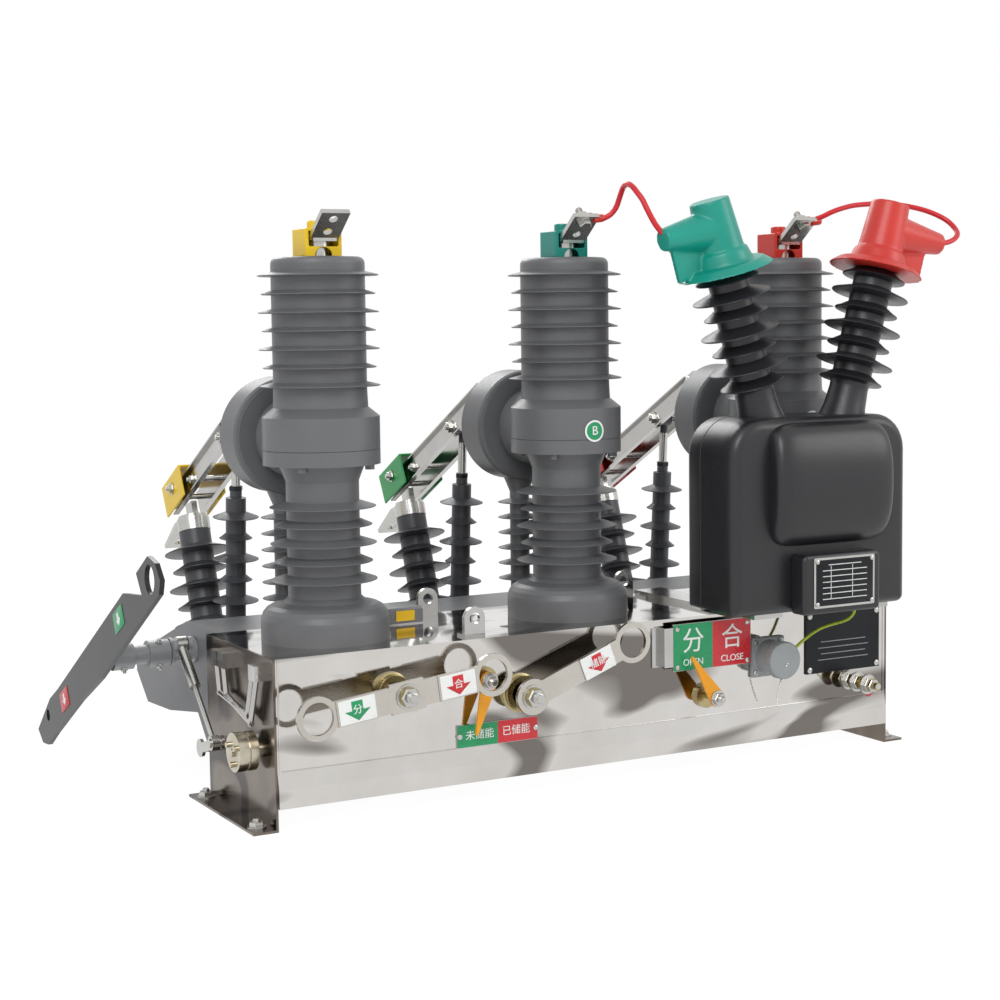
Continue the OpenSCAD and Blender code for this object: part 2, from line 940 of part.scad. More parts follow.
module transformer_rails() {
    start = vt_front + 14;
    color("silver")
        for (r = [[-96, back_y - 6], [74, -foot_r - 4]])
            difference() {
                translate([vt_x + r[0], start, housing_top])
                    cube([44, r[1] - start, rail_h]);
                for (y = [start + 20, r[1] - 16])
                    translate([vt_x + r[0] + 22, y, housing_top - 1])
                        cylinder(r = 4.5, h = rail_h + 2);
            }
}

// elbow plug that covers a bushing's top and points away from the middle
module hv_plug(s, reach, shade) {
    color(shade)
        translate([vt_x + bushing_mid + s * bushing_off, bushing_y, vt_top - 12])
            rotate([0, s * bushing_tilt, 0])
                difference() {
                    union() {
                        translate([0, 0, 203])
                            cylinder(r1 = 62, r2 = 50, h = 10);
                        translate([0, 0, 212])
                            cylinder(r1 = 38, r2 = 33, h = 18);
                        translate([0, 0, 228])
                            cylinder(r1 = 30, r2 = 25, h = 66);
                        translate([s * 10, 0, 258])
                            rotate([0, s * 84, 0])
                                cylinder(r1 = 26, r2 = 14, h = reach);
                        // moulded web under the elbow
                        translate([s > 0 ? 20 : -72, -4, 208])
                            cube([52, 8, 44]);
                    }
                    translate([0, 0, 202])
                        cylinder(r = 26 + gap, h = 4);
                }
}

// lifting eyes and the small relay box on the housing
module top_fittings() {
    color("silver") {
        for (p = [[-176, -88], [-150, 90], [150, 90]])
            difference() {
                union() {
                    translate([p[0] - 14, p[1] - 3, housing_top])
                        cube([28, 6, 22]);
                    along_front(p[0], p[1] + 3, housing_top + 22, 14, 6);
                    translate([p[0] - 14, p[1] - 3, housing_top])
                        cube([28, 20, 3]);
                }
                along_front(p[0], p[1] + 4, housing_top + 22, 7, 8);
            }
        translate([-250, 40, housing_top])
            cube([70, 44, 20]);
        along_front(-236, 41, housing_top + 10, 8, 6);
    }
}

module lead(points) {
    color("red")
        tube_along(fine(points, 2), lead_r, 8);
}

module earth_wire() {
    color("yellow")
        tube_along(earth_path, wire_r, 8);
}

shades = ["gold", "seagreen", "firebrick"];

housing();
end_plate(-1);  // end_plate_left
end_plate(1);  // end_plate_right
pole(pole_x[0]);  // pole_a
pole(pole_x[1]);  // pole_b
pole(pole_x[2]);  // pole_c
current_transformer(pole_x[0]);  // current_transformer_a
current_transformer(pole_x[1]);  // current_transformer_b
current_transformer(pole_x[2]);  // current_transformer_c
top_terminal(pole_x[0]);  // top_terminal_a
top_terminal(pole_x[1]);  // top_terminal_b
top_terminal(pole_x[2]);  // top_terminal_c
terminal_cover(pole_x[0], shades[0]);  // terminal_cover_a
terminal_cover(pole_x[1], shades[1]);  // terminal_cover_b
terminal_cover(pole_x[2], shades[2]);  // terminal_cover_c
outlet_terminal(pole_x[0]);  // outlet_terminal_a
outlet_terminal(pole_x[1]);  // outlet_terminal_b
outlet_terminal(pole_x[2]);  // outlet_terminal_c
isolator_frame();
post_insulator(pole_x[0]);  // post_insulator_a
post_insulator(pole_x[1]);  // post_insulator_b
post_insulator(pole_x[2]);  // post_insulator_c
fixed_contact(pole_x[0]);  // fixed_contact_a
fixed_contact(pole_x[1]);  // fixed_contact_b
fixed_contact(pole_x[2]);  // fixed_contact_c
isolator_shaft();
isolator_handle();
blade(pole_x[0]);  // blade_a
blade(pole_x[1]);  // blade_b
blade(pole_x[2]);  // blade_c
blade_cover(pole_x[0], shades[0]);  // blade_cover_a
blade_cover(pole_x[1], shades[1]);  // blade_cover_b
blade_cover(pole_x[2], shades[2]);  // blade_cover_c
pull_insulator(pole_x[0]);  // pull_insulator_a
pull_insulator(pole_x[1]);  // pull_insulator_b
pull_insulator(pole_x[2]);  // pull_insulator_c
interlock_link();
interlock_arm();
interlock_drum();
lock_bracket();
trip_lever();
charging_lever();
state_pointer();
charge_pointer();
front_fittings();
indicator_plates();
control_socket();
control_panel();
voltage_transformer();
transformer_rails();
hv_plug(-1, 70, "teal");  // hv_plug_left
hv_plug(1, 84, "firebrick");  // hv_plug_right
top_fittings();
lead(lead_b_path);  // hv_lead_b
lead(lead_c_path);  // hv_lead_c
earth_wire();
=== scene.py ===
"""Outdoor vacuum circuit breaker: finishes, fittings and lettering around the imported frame."""

from __future__ import annotations

import json
import logging
import math
from dataclasses import dataclass, field
from enum import Enum
from typing import Sequence

import bmesh
import bpy
from mathutils import Matrix, Vector

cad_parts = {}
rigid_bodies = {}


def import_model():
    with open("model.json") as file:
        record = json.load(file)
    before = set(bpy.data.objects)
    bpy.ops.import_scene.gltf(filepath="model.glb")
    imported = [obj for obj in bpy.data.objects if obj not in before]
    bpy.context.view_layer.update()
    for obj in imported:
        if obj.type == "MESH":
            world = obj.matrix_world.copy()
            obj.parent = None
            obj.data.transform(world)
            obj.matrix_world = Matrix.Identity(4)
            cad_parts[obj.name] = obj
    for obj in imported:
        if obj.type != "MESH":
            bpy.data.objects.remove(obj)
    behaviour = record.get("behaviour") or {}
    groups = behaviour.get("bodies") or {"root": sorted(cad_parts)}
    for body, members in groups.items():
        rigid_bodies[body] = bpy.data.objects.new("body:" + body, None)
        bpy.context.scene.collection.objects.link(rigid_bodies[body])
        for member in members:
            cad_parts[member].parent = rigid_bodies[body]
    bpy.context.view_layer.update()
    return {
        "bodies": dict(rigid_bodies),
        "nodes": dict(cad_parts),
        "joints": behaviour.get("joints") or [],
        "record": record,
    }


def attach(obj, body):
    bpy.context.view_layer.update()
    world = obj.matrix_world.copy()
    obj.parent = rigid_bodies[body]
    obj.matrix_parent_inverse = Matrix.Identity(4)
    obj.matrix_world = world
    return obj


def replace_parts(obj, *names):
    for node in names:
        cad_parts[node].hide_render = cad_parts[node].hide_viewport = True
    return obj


LOG = logging.getLogger("breaker")
MM = 0.001
POLES = {"a": -332.0, "b": 8.0, "c": 348.0}
FRONT_TURN = Matrix.Rotation(math.pi / 2, 4, "X")


def linear(code: str) -> tuple[float, float, float, float]:
    """Turn an sRGB hex colour into a linear one.

    Args:
        code: colour such as "#6a6b6d".

    Returns:
        Linear red, green, blue and an alpha of 1.
    """
    parts = [int(code[i : i + 2], 16) / 255 for i in (1, 3, 5)]
    flat = [p / 12.92 if p <= 0.04045 else ((p + 0.055) / 1.055) ** 2.4 for p in parts]
    return flat[0], flat[1], flat[2], 1.0


def add(
    tree: bpy.types.NodeTree, kind: str, sockets: dict | None = None, **settings: object
) -> bpy.types.Node:
    """Add a node with its settings, socket values and links.

    Args:
        tree: the tree that gets the node.
        kind: the node's type name.
        sockets: input name or number to a value, or to an output to link.
        settings: attributes of the node.

    Returns:
        The new node.
    """
    node = tree.nodes.new(kind)
    for key, value in settings.items():
        setattr(node, key, value)
    for key, value in (sockets or {}).items():
        if isinstance(value, bpy.types.NodeSocket):
            tree.links.new(value, node.inputs[key])
        else:
            node.inputs[key].default_value = value
    return node


class Grain(Enum):
    """How a surface was made, as stretches of its grain along X, Y and Z."""

    CAST = (1.0, 1.0, 1.0)
    BRUSHED_X = (0.03, 1.0, 1.0)
    BRUSHED_Z = (1.0, 1.0, 0.03)
    ROLLED = (0.08, 1.0, 0.6)


@dataclass(frozen=True)
class Finish:
    """One finish: its colours, its gloss and the grain that its making left."""

    name: str
    colour: str
    shade: str
    grain: Grain = Grain.CAST
    metallic: float = 0.0
    roughness: float = 0.45
    spread: float = 0.08
    grain_mm: float = 1.5
    relief_mm: float = 0.03
    patch_mm: float = 60.0
    wave_mm: float = 0.0
    # dark colour of a painted reflection mixed into the base colour; empty for none
    painted_reflection: str = ""
    split: tuple[str, float, str] | None = None

    def build(self) -> bpy.types.Material:
        """Make the finish as a node material, or find it if it is made already.

        Returns:
            The material.
        """
        known = bpy.data.materials.get(self.name)
        if known:
            return known
        material = bpy.data.materials.new(self.name)
        material.use_nodes = True
        tree = material.node_tree
        shader = tree.nodes["Principled BSDF"]
        place = add(tree, "ShaderNodeTexCoord").outputs["Object"]
        stretch = [k * 1000 / self.grain_mm for k in self.grain.value]
        spot = add(tree, "ShaderNodeMapping", {"Vector": place, "Scale": stretch})
        fine = add(
            tree, "ShaderNodeTexNoise", {"Vector": spot.outputs[0], "Scale": 1.0, "Detail": 3.0}
        )
        broad = add(
            tree,
            "ShaderNodeTexNoise",
            {"Vector": place, "Scale": 1000 / self.patch_mm, "Detail": 4.0, "Roughness": 0.6},
        )
        colour = add(
            tree,
            "ShaderNodeMix",
            {0: broad.outputs["Fac"], 6: linear(self.shade), 7: linear(self.colour)},
            data_type="RGBA",
        ).outputs[2]
        if self.split:
            axis, edge, other = self.split
            part = add(tree, "ShaderNodeSeparateXYZ", {0: place}).outputs[axis]
            past = add(
                tree, "ShaderNodeMath", {0: part, 1: edge * MM}, operation="GREATER_THAN"
            )
            colour = add(
                tree,
                "ShaderNodeMix",
                {0: past.outputs[0], 6: colour, 7: linear(other)},
                data_type="RGBA",
            ).outputs[2]
        if self.painted_reflection:
            # painted reflection: dark tongues mixed into the colour, standing in for what a warped
            # mirror shows of a dark room
            tongue = add(
                tree, "ShaderNodeMapping", {"Vector": place, "Scale": (2.6, 6.0, 7.5)}
            )
            mass = add(
                tree,
                "ShaderNodeTexNoise",
                {"Vector": tongue.outputs[0], "Scale": 1.0, "Detail": 1.5, "Distortion": 1.6},
            )
            painted_reflection_mask = add(
                tree,
                "ShaderNodeMapRange",
                {"Value": mass.outputs["Fac"], "From Min": 0.5, "From Max": 0.59},
            )
            colour = add(
                tree,
                "ShaderNodeMix",
                {0: painted_reflection_mask.outputs[0], 6: colour, 7: linear(self.painted_reflection)},
                data_type="RGBA",
            ).outputs[2]
        tree.links.new(colour, shader.inputs["Base Color"])
        gloss = add(
            tree,
            "ShaderNodeMapRange",
            {
                "Value": fine.outputs["Fac"],
                "From Min": 0.3,
                "From Max": 0.7,
                "To Min": max(self.roughness - self.spread, 0.02),
                "To Max": self.roughness + self.spread,
            },
        )
        tree.links.new(gloss.outputs[0], shader.inputs["Roughness"])
        relief = add(
            tree,
            "ShaderNodeBump",
            {"Height": fine.outputs["Fac"], "Strength": 0.5, "Distance": self.relief_mm * MM},
        )
        normal = relief.outputs[0]
        if self.wave_mm:
            # sheet metal is never flat, so its reflections swim
            swell = add(
                tree, "ShaderNodeTexNoise", {"Vector": place, "Scale": 7.0, "Detail": 1.0}
            )
            normal = add(
                tree,
                "ShaderNodeBump",
                {
                    "Height": swell.outputs["Fac"],
                    "Strength": 1.0,
                    "Distance": self.wave_mm * MM,
                    "Normal": normal,
                },
            ).outputs[0]
        tree.links.new(normal, shader.inputs["Normal"])
        shader.inputs["Metallic"].default_value = self.metallic
        return material


# cold-rolled stainless sheet, buffed bright: faint rolling lines, swimming reflections, and dark
# tongues of painted reflection in its colour
MIRROR_SHEET = Finish(
    "buffed_stainless_sheet", "#dcdad7", "#b9b5b0", Grain.ROLLED, 1.0, 0.065, 0.03, 1.2, 0.008,
    120.0, 2.6, "#77726d",
)
# the same steel with painted shade: its colours darker at the ends, with a dark painted reflection
# too
END_SHEET_PAINTED_SHADE = Finish(
    "end_plate_stainless_painted_shade", "#8b8178", "#544b44", Grain.BRUSHED_Z, 1.0, 0.2, 0.06, 1.0, 0.02,
    70.0, 2.0, "#3b3430",
)
# cast epoxy under silicone sheds: satin, faintly mottled
GREY_CAST = Finish("grey_cast_epoxy", "#6c6d6f", "#5f6062", roughness=0.42, relief_mm=0.05)
# darker silicone of the supports
DARK_SILICONE = Finish("dark_silicone", "#47484c", "#3a3b3f", roughness=0.4, relief_mm=0.04)
# cast epoxy of the transformer, pigmented black
BLACK_CAST = Finish(
    "black_cast_epoxy", "#242427", "#1c1c1f", roughness=0.34, spread=0.07, grain_mm=1.2,
    relief_mm=0.05,
)
BLACK_SHED = Finish("black_silicone", "#2a2a2e", "#202024", roughness=0.38, relief_mm=0.03)
# zinc-plated steel and tinned copper
PLATED = Finish(
    "bright_plated_steel", "#c9c8c4", "#aeada9", Grain.CAST, 1.0, 0.26, 0.07, 0.8, 0.02, 20.0
)
# stainless strip drawn and polished lengthwise
STRIP = Finish(
    "polished_stainless_strip", "#c4c3c1", "#a5a3a0", Grain.BRUSHED_X, 1.0, 0.16, 0.06, 0.6, 0.02
)
YELLOW_ABS = Finish("yellow_abs", "#f2cd16", "#e6be10", roughness=0.33, relief_mm=0.03)
GREEN_ABS = Finish("green_abs", "#16a352", "#0f9347", roughness=0.33, relief_mm=0.03)
TEAL_ABS = Finish("blue_green_abs", "#0b8f82", "#078074", roughness=0.33, relief_mm=0.03)
RED_ABS = Finish("red_abs", "#cf3528", "#bf2b20", roughness=0.33, relief_mm=0.03)
TEAL_RUBBER = Finish(
    "blue_green_silicone", "#109c8a", "#0b8a7a", roughness=0.36, relief_mm=0.05
)
RED_RUBBER = Finish("red_silicone", "#d63a30", "#c22f27", roughness=0.36, relief_mm=0.05)
LEAD_RED = Finish("red_lead_jacket", "#d8202a", "#c41822", roughness=0.35, relief_mm=0.02)
# powder coat over bent sheet: fine orange peel
GREY_PAINT = Finish("grey_powder_coat", "#77787a", "#66676a", roughness=0.4, relief_mm=0.08)
SILVER_PAINT = Finish(
    "aluminium_paint", "#a9abad", "#8f9193", metallic=0.35, roughness=0.42, relief_mm=0.05
)
DARK_PLATE = Finish(
    "dark_satin_plate", "#333437", "#212225", Grain.CAST, 0.5, 0.36, 0.08, 1.0, 0.04, 90.0
)
# brushed stainless levers, their grain along the lever
LEVER_STEEL = Finish(
    "brushed_stainless_lever", "#cfcbc4", "#b3aea6", Grain.BRUSHED_X, 1.0, 0.24, 0.08, 0.7, 0.02
)
POINTER = Finish("orange_yellow_enamel", "#f2a50c", "#e69606", roughness=0.3, relief_mm=0.02)
# zinc passivated yellow: a brassy cast with darker patches
ZINC = Finish(
    "yellow_passivated_zinc", "#c2b489", "#93855c", Grain.CAST, 1.0, 0.26, 0.08, 0.8, 0.02, 12.0
)
BRASS = Finish(
    "turned_nickel_brass", "#cdc6b4", "#a59d8a", Grain.CAST, 1.0, 0.22, 0.05, 0.5, 0.02, 15.0
)
SIGN = Finish(
    "printed_sign", "#1f9a63", "#1a9159", roughness=0.3, relief_mm=0.01, split=("X", 151, "#d02b34")
)
CHARGE_SIGN = Finish(
    "printed_charge_sign", "#1f9a63", "#1a9159", roughness=0.3, relief_mm=0.01,
    split=("X", -157, "#d02b34"),
)
WHITE_INK = Finish("white_print", "#f2f4f2", "#e8eae8", roughness=0.4, relief_mm=0.01)
GREEN_INK = Finish("green_print", "#1f9a63", "#1a9159", roughness=0.35, relief_mm=0.01)
RED_INK = Finish("red_print", "#d02b34", "#c6252e", roughness=0.35, relief_mm=0.01)
YELLOW_INK = Finish("yellow_print", "#efc21c", "#e6b814", roughness=0.4, relief_mm=0.01)
CAP_GREY = Finish("grey_nylon_cap", "#9b9fa1", "#8d9193", roughness=0.42, relief_mm=0.05)
PANEL = Finish(
    "black_brushed_panel", "#2a2b2e", "#1c1d1f", Grain.BRUSHED_X, 0.7, 0.36, 0.08, 0.5, 0.03
)
BLACK_STEEL = Finish("blackened_steel", "#36373a", "#28292c", metallic=0.8, roughness=0.4)
EARTH = Finish(
    "earth_wire_sheath", "#d8d01a", "#3f9a2c", roughness=0.4, patch_mm=5.0, relief_mm=0.02
)

NODE_FINISHES: dict[str, Finish] = {
    "housing": MIRROR_SHEET,
    "end_plate": END_SHEET_PAINTED_SHADE,
    "pole": GREY_CAST,
    "current_transformer": GREY_CAST,
    "top_terminal": PLATED,
    "outlet_terminal": PLATED,
    "fixed_contact": PLATED,
    "post_insulator": DARK_SILICONE,
    "pull_insulator": DARK_SILICONE,
    "blade": STRIP,
    "isolator_frame": GREY_PAINT,
    "isolator_shaft": SILVER_PAINT,
    "isolator_handle": DARK_PLATE,
    "interlock_link": PLATED,
    "interlock_arm": PLATED,
    "interlock_drum": BRASS,
    "lock_bracket": STRIP,
    "trip_lever": LEVER_STEEL,
    "charging_lever": LEVER_STEEL,
    "state_pointer": POINTER,
    "charge_pointer": POINTER,
    "front_fittings": ZINC,
    "indicator_plates": STRIP,
    "control_socket": CAP_GREY,
    "control_panel": PANEL,
    "voltage_transformer": BLACK_CAST,
    "transformer_rails": STRIP,
    "hv_plug_left": TEAL_RUBBER,
    "hv_plug_right": RED_RUBBER,
    "top_fittings": STRIP,
    "terminal_cover_a": YELLOW_ABS,
    "terminal_cover_b": TEAL_ABS,
    "terminal_cover_c": RED_ABS,
    "blade_cover_a": YELLOW_ABS,
    "blade_cover_b": GREEN_ABS,
    "blade_cover_c": RED_ABS,
    "hv_lead": LEAD_RED,
    "earth_wire": EARTH,
}


def at(x: float, y: float, z: float) -> Matrix:
    """Return a shift to a place given in millimetres."""
    return Matrix.Translation((x * MM, y * MM, z * MM))


def turn(degrees: float, axis: str) -> Matrix:
    """Return a turn in degrees about a named axis."""
    return Matrix.Rotation(math.radians(degrees), 4, axis)


def piece(
    name: str, mesh: bmesh.types.BMesh, finish: Finish, body: str = "breaker",
    sharp: float = 35.0,
) -> bpy.types.Object:
    """Make a piece of a finished mesh, in row-frame metres, and let it ride on its body.

    Args:
        name: the piece's name.
        mesh: the geometry, which is freed.
        finish: what it is made of.
        body: the moving body that carries it.
        sharp: angle in degrees above which an edge stays crisp.

    Returns:
        The piece.
    """
    bmesh.ops.remove_doubles(mesh, verts=mesh.verts, dist=1e-6)
    bmesh.ops.recalc_face_normals(mesh, faces=mesh.faces)
    data = bpy.data.meshes.new(name)
    mesh.to_mesh(data)
    mesh.free()
    data.shade_smooth()
    data.set_sharp_from_angle(angle=math.radians(sharp))
    data.materials.append(finish.build())
    shape = bpy.data.objects.new(name, data)
    bpy.context.scene.collection.objects.link(shape)
    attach(shape, body)
    LOG.info("%s on %s", name, body)
    return shape


def spin(
    mesh: bmesh.types.BMesh, profile: Sequence[tuple[float, float]], place: Matrix,
    sides: int = 48,
) -> None:
    """Add a turned solid to a mesh.

    Args:
        mesh: the mesh that grows.
        profile: radius and height in millimetres, from the lowest centre point up.
        place: where its axis stands.
        sides: how many flats make the round.
    """
    rings: list[list[bmesh.types.BMVert]] = []
    for radius, height in profile:
        count = 1 if radius < 1e-6 else sides
        ring = []
        for k in range(count):
            a = 2 * math.pi * k / sides
            spot = Vector((radius * math.cos(a), radius * math.sin(a), height)) * MM
            ring.append(mesh.verts.new(place @ spot))
        rings.append(ring)
    for low, high in zip(rings, rings[1:]):
        for k in range(sides):
            quad = [low[k % len(low)], low[(k + 1) % len(low)]]
            quad += [high[(k + 1) % len(high)], high[k % len(high)]]
            corners = list(dict.fromkeys(quad))
            if len(corners) > 2:
                mesh.faces.new(corners)
    for ring, flip in ((rings[0], True), (rings[-1], False)):
        if len(ring) > 1:
            mesh.faces.new(ring[::-1] if flip else ring)


def loft(mesh: bmesh.types.BMesh, rings: Sequence[Sequence[Vector]]) -> None:
    """Add a closed skin over rings of equal length.

    Args:
        mesh: the mesh that grows.
        rings: loops of points in metres.
    """
    loops = [[mesh.verts.new(p) for p in ring] for ring in rings]
    count = len(loops[0])
    for low, high in zip(loops, loops[1:]):
        for k in range(count):
            n = (k + 1) % count
            mesh.faces.new((low[k], low[n], high[n], high[k]))
    mesh.faces.new(loops[0][::-1])
    mesh.faces.new(loops[-1])


def box_outline(
    width: float, height: float, corners: Sequence[float], inset: float = 0.0, steps: int = 7
) -> list[tuple[float, float]]:
    """Outline of a rectangle with rounded corners, centred on its width, standing on zero.

    Args:
        width: full width in millimetres.
        height: full height in millimetres.
        corners: radii at lower right, upper right, upper left and lower left.
        inset: how far the outline draws in on all sides.
        steps: points in each corner.

    Returns:
        The points, anticlockwise.
    """
    points = []
    middles = [(1, 0), (1, 1), (-1, 1), (-1, 0)]
    for (side, up), full, start in zip(middles, corners, (-90, 0, 90, 180)):
        r = max(full - inset, 0.4)
        cx = side * (width / 2 - inset - r)
        cz = height - inset - r if up else inset + r
        for k in range(steps):
            a = math.radians(start + 90 * k / (steps - 1))
            points.append((cx + r * math.cos(a), cz + r * math.sin(a)))
    return points


def rounded_block(
    mesh: bmesh.types.BMesh, width: float, height: float, depth: float,
    corners: Sequence[float], fillet: float, place: Matrix, slant: float = 0.0,
) -> None:
    """Add a block that is rounded all over, its outline in X and Z and its depth along -Y.

    Args:
        mesh: the mesh that grows.
        width: along X in millimetres.
        height: along Z.
        depth: along -Y.
        corners: the outline's corner radii.
        fillet: rounding of the front and back edges.
        place: where the middle of its lower back edge stands.
        slant: how much the front is narrower than the back.
    """
    track = []
    for k in range(5):
        a = math.radians(90 * k / 4)
        track.append((fillet - fillet * math.cos(a), fillet - fillet * math.sin(a)))
    track += [(depth - d, i) for d, i in reversed(track)]
    rings = []
    for y, inset in track:
        shrink = slant * y / depth
        outline = box_outline(width - shrink, height, corners, inset)
        rings.append([place @ (Vector((x, -y, z)) * MM) for x, z in outline])
    loft(mesh, rings)


HEX_HEAD = [(0, 0), (1.0, 0), (1.0, 0.52), (0.9, 0.62), (0, 0.62)]


def bolt(
    mesh: bmesh.types.BMesh, place: Matrix, size: float, stud: float = 0.0, washer: bool = True
) -> None:
    """Add a hexagon nut with its washer and the end of its stud, facing local +Z.

    Args:
        mesh: the mesh that grows.
        place: where the seat's middle is.
        size: radius to the hexagon's corners.
        stud: how far the thread stands above the nut.
        washer: whether a washer lies under it.
    """
    seat = 0.0
    if washer:
        seat = size * 0.18
        spin(mesh, [(0, 0), (size * 1.25, 0), (size * 1.25, seat), (0, seat)], place, 28)
    head = [(r * size, seat + h * size) for r, h in HEX_HEAD]
    spin(mesh, head, place, 6)
    if stud:
        top = seat + 0.62 * size
        profile = [(0, top)]
        height = top
        while height < top + stud:
            # coarse thread: crest and root
            profile += [(size * 0.52, height), (size * 0.52, height + 0.4)]
            profile += [(size * 0.46, height + 0.8), (size * 0.46, height + 1.1)]
            height += 1.5
        profile += [(size * 0.42, height + 0.5), (0, height + 0.5)]
        spin(mesh, profile, place, 20)


def sheds(
    count: int, start: float, pitch: float, core: float, radii: Sequence[float], rise: float
) -> list[tuple[float, float]]:
    """Profile of a row of sheds with sloping tops and rounded rims.

    Args:
        count: how many sheds.
        start: height of the first rim.
        pitch: from one shed to the next.
        core: radius between them.
        radii: rim radii, taken in turn.
        rise: height of each sloping top.

    Returns:
        Radius and height pairs, lowest first.
    """
    points = []
    for k in range(count):
        z = start + k * pitch
        r = radii[k % len(radii)]
        points += [(core, z - 3.4), (core + 1.6, z - 2.2), (r - 2.4, z - 1.2), (r - 0.8, z - 1)]
        points += [(r, z - 0.2), (r - 0.5, z + 0.8), (r - 3, z + 1.6)]
        points += [(core + 3, z + rise - 2), (core, z + rise)]
    return points


def lettering(
    name: str, words: str, size: float, place: Matrix, finish: Finish, body: str
) -> bpy.types.Object:
    """Make raised lettering, centred, reading along local X with its face to local +Z.

    Args:
        name: the piece's name.
        words: what it says.
        size: height in millimetres.
        place: where its middle is.
        finish: its ink.
        body: what carries it.

    Returns:
        The piece.
    """
    curve = bpy.data.curves.new(name, "FONT")
    curve.body = words
    curve.size = size * MM
    curve.align_x = "CENTER"
    curve.align_y = "CENTER"
    curve.extrude = 0.0003
    curve.resolution_u = 4
    source = bpy.data.objects.new(name + "_outline", curve)
    bpy.context.scene.collection.objects.link(source)
    bpy.context.view_layer.update()
    data = bpy.data.meshes.new_from_object(source)
    bpy.data.objects.remove(source)
    mesh = bmesh.new()
    mesh.from_mesh(data)
    bmesh.ops.transform(mesh, matrix=place, verts=mesh.verts)
    return piece(name, mesh, finish, body)


def tile(
    name: str, outline: Sequence[tuple[float, float]], thick: float, place: Matrix,
    finish: Finish, body: str = "breaker",
) -> bpy.types.Object:
    """Make a thin printed shape with eased edges, its face to local +Z.

    Args:
        name: the piece's name.
        outline: its points in millimetres, anticlockwise.
        thick: how far it stands up.
        place: where its origin is.
        finish: its ink or sheet.
        body: what carries it.

    Returns:
        The piece.
    """
    mesh = bmesh.new()
    middle = Vector([sum(p[i] for p in outline) / len(outline) for i in (0, 1)])
    rings = []
    for z, pull in ((0.0, 0.0), (thick * 0.7, 0.0), (thick, 0.25)):
        ring = []
        for p in outline:
            off = Vector(p) - middle
            spot = middle + off * (1 - pull / max(off.length, 1))
            ring.append(place @ (Vector((spot.x, spot.y, z)) * MM))
        rings.append(ring)
    loft(mesh, rings)
    return piece(name, mesh, finish, body)


def rectangle(width: float, height: float, radius: float = 1.0) -> list[tuple[float, float]]:
    """Return a rounded rectangle centred on the origin."""
    points = box_outline(width, height, [radius] * 4, 0, 4)
    return [(x, z - height / 2) for x, z in points]


def smooth(points: Sequence[Sequence[float]], steps: int) -> list[Vector]:
    """Run one smooth curve through points.

    Args:
        points: places in millimetres.
        steps: how many short pieces between two of them.

    Returns:
        Places in metres.
    """
    p = [Vector(q) for q in points]
    out = []
    for i in range(len(p) - 1):
        a, b, c, d = p[max(i - 1, 0)], p[i], p[i + 1], p[min(i + 2, len(p) - 1)]
        for k in range(steps):
            t = k / steps
            bend = 2 * a - 5 * b + 4 * c - d
            out.append(
                0.5 * (2 * b + (c - a) * t + bend * t * t + (3 * b - a - 3 * c + d) * t**3) * MM
            )
    out.append(p[-1] * MM)
    return out


@dataclass
class Lead:
    """One insulated lead that runs from one fixed end to the other."""

    name: str
    node: str
    slot: str
    diameter: float
    points: list[tuple[float, float, float]]
    finish: Finish
    stiffness: str = "medium"

    def make(self) -> None:
        line = smooth(self.points, 5)
        curve = bpy.data.curves.new(self.name, "CURVE")
        curve.dimensions = "3D"
        curve.bevel_depth = self.diameter / 2 * MM
        curve.bevel_resolution = 5
        curve.use_fill_caps = True
        spline = curve.splines.new("POLY")
        spline.points.add(len(line) - 1)
        for dot, place in zip(spline.points, line):
            dot.co = (*place, 1.0)
        curve.materials.append(self.finish.build())
        shape = bpy.data.objects.new(self.name, curve)
        bpy.context.scene.collection.objects.link(shape)
        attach(shape, "breaker")
        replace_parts(shape, self.node)


LEADS = [
    Lead("lead_middle_pole", "hv_lead_b", "lead_red", 7.0, [
        (26, -52, 703), (36, -53, 705), (44, -56, 710), (49, -60, 718), (50, -65, 727),
        (49, -72, 735), (47, -80, 741), (45, -89, 744), (44, -98, 744), (44, -107, 740),
        (45, -115, 733), (48, -122, 724), (51, -127, 713), (55, -131, 702), (60, -134, 692),
        (66, -137, 684), (74, -138, 678)], LEAD_RED),
    Lead("lead_right_pole", "hv_lead_c", "lead_red", 7.0, [
        (362, -52, 706), (376, -56, 711), (390, -58, 717), (406, -59, 722), (424, -60, 726),
        (444, -62, 728), (466, -65, 729), (488, -70, 728), (508, -77, 725), (526, -86, 720),
        (540, -96, 713), (549, -106, 705), (552, -116, 696), (549, -126, 688), (541, -133, 682),
        (530, -137, 677), (518, -138, 674), (502, -138, 673)], LEAD_RED),
    Lead("earth_tail", "earth_wire", "earth_sheath", 4.0, [
        (330, -183, 211), (330, -183, 203), (329, -181, 196), (326, -177, 190),
        (321, -172, 186), (314, -166, 183), (306, -160, 180), (298, -154, 176),
        (291, -149, 171), (284, -145, 165), (277, -142, 159), (270, -140, 153),
        (263, -138, 148)], EARTH, "limp"),
]


